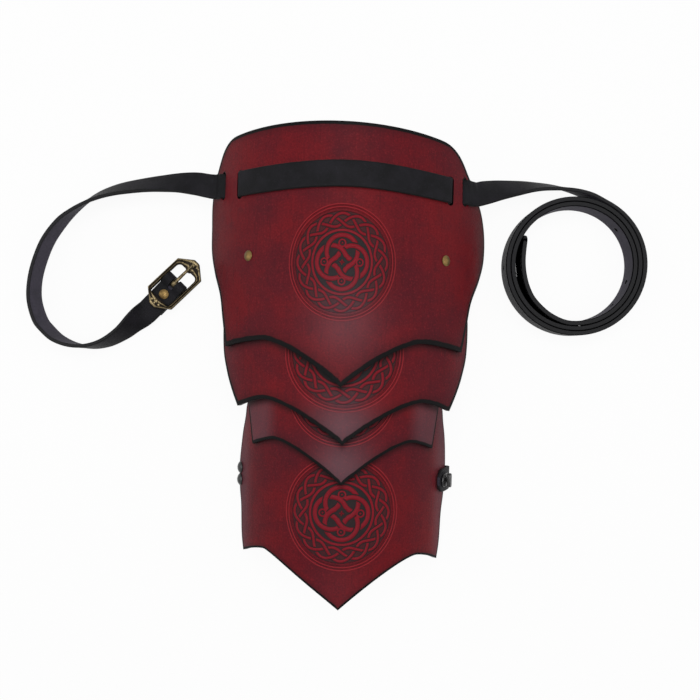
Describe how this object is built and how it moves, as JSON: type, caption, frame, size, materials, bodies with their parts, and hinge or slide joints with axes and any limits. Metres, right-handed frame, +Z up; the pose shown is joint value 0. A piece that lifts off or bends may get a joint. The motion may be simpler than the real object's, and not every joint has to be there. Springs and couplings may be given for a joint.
{
  "type": "leather pauldron",
  "caption": "Shoulder guard of bent, overlapping leather plates on inner straps, with a buckled neck strap and a turn-locked arm strap, lying face up.",
  "frame": {"origin": "middle of the arm strap's underside, on the table", "axes": "+X across the plates to the wearer's side that carries the coiled strap end, +Y towards the neck edge, +Z up, out of the plates' outer face"},
  "size_m": [0.57, 0.41, 0.0902],
  "materials": {
    "red_leather": "satin",
    "black_leather": "satin",
    "brass": "aged",
    "black_metal": "satin"
  },
  "bodies": {
    "cap": {"cap": "red_leather", "cap_hinge_straps": "black_leather", "cap_rivets": "brass", "neck_strap_crossing": "black_leather", "neck_strap_buckle_run": "black_leather", "neck_strap_tail_run": "black_leather", "neck_strap_coil": "black_leather", "neck_chape": "black_leather", "neck_chape_rivet": "brass"},
    "lame_2": {"lame_2": "red_leather", "lame_2_hinge_straps": "black_leather", "lame_2_rivets": "brass"},
    "lame_3": {"lame_3": "red_leather", "lame_3_hinge_straps": "black_leather", "lame_3_rivets": "brass"},
    "lame_4": {"lame_4": "red_leather", "lame_4_hinge_straps": "black_leather", "lame_4_rivets": "brass", "arm_strap": "black_leather", "arm_strap_rivets": "black_metal", "turn_lock_base": "black_metal", "turn_lock_eyelet": "black_metal"},
    "turn_lock": {"turn_lock_knob": "black_metal"},
    "neck_buckle": {"neck_buckle_frame": "brass"},
    "neck_tongue": {"neck_buckle_tongue": "brass"}
  },
  "joints": [
    {"name": "lame_2_flex", "type": "hinge", "parent": "cap", "child": "lame_2", "pos_m": [0, 0.175, 0.0405], "axis": [1, 0, 0], "range_deg": [0, 15]},
    {"name": "lame_3_flex", "type": "hinge", "parent": "lame_2", "child": "lame_3", "pos_m": [0, 0.145, 0.03], "axis": [1, 0, 0], "range_deg": [0, 15]},
    {"name": "lame_4_flex", "type": "hinge", "parent": "lame_3", "child": "lame_4", "pos_m": [0, 0.082, 0.0345], "axis": [1, 0, 0], "range_deg": [0, 15]},
    {"name": "turn_lock_turn", "type": "hinge", "parent": "lame_4", "child": "turn_lock", "pos_m": [0.09179, 0, 0.01625], "axis": [0.8912, 0, 0.4536], "range_deg": [0, 90]},
    {"name": "neck_buckle_tilt", "type": "hinge", "parent": "cap", "child": "neck_buckle", "pos_m": [-0.162, 0.1755, 0.0064], "axis": [-0.7314, 0.682, 0], "range_deg": [0, 35]},
    {"name": "neck_tongue_lift", "type": "hinge", "parent": "neck_buckle", "child": "neck_tongue", "pos_m": [-0.162, 0.1755, 0.0064], "axis": [0.7314, -0.682, 0], "range_deg": [0, 115]}
  ]
}
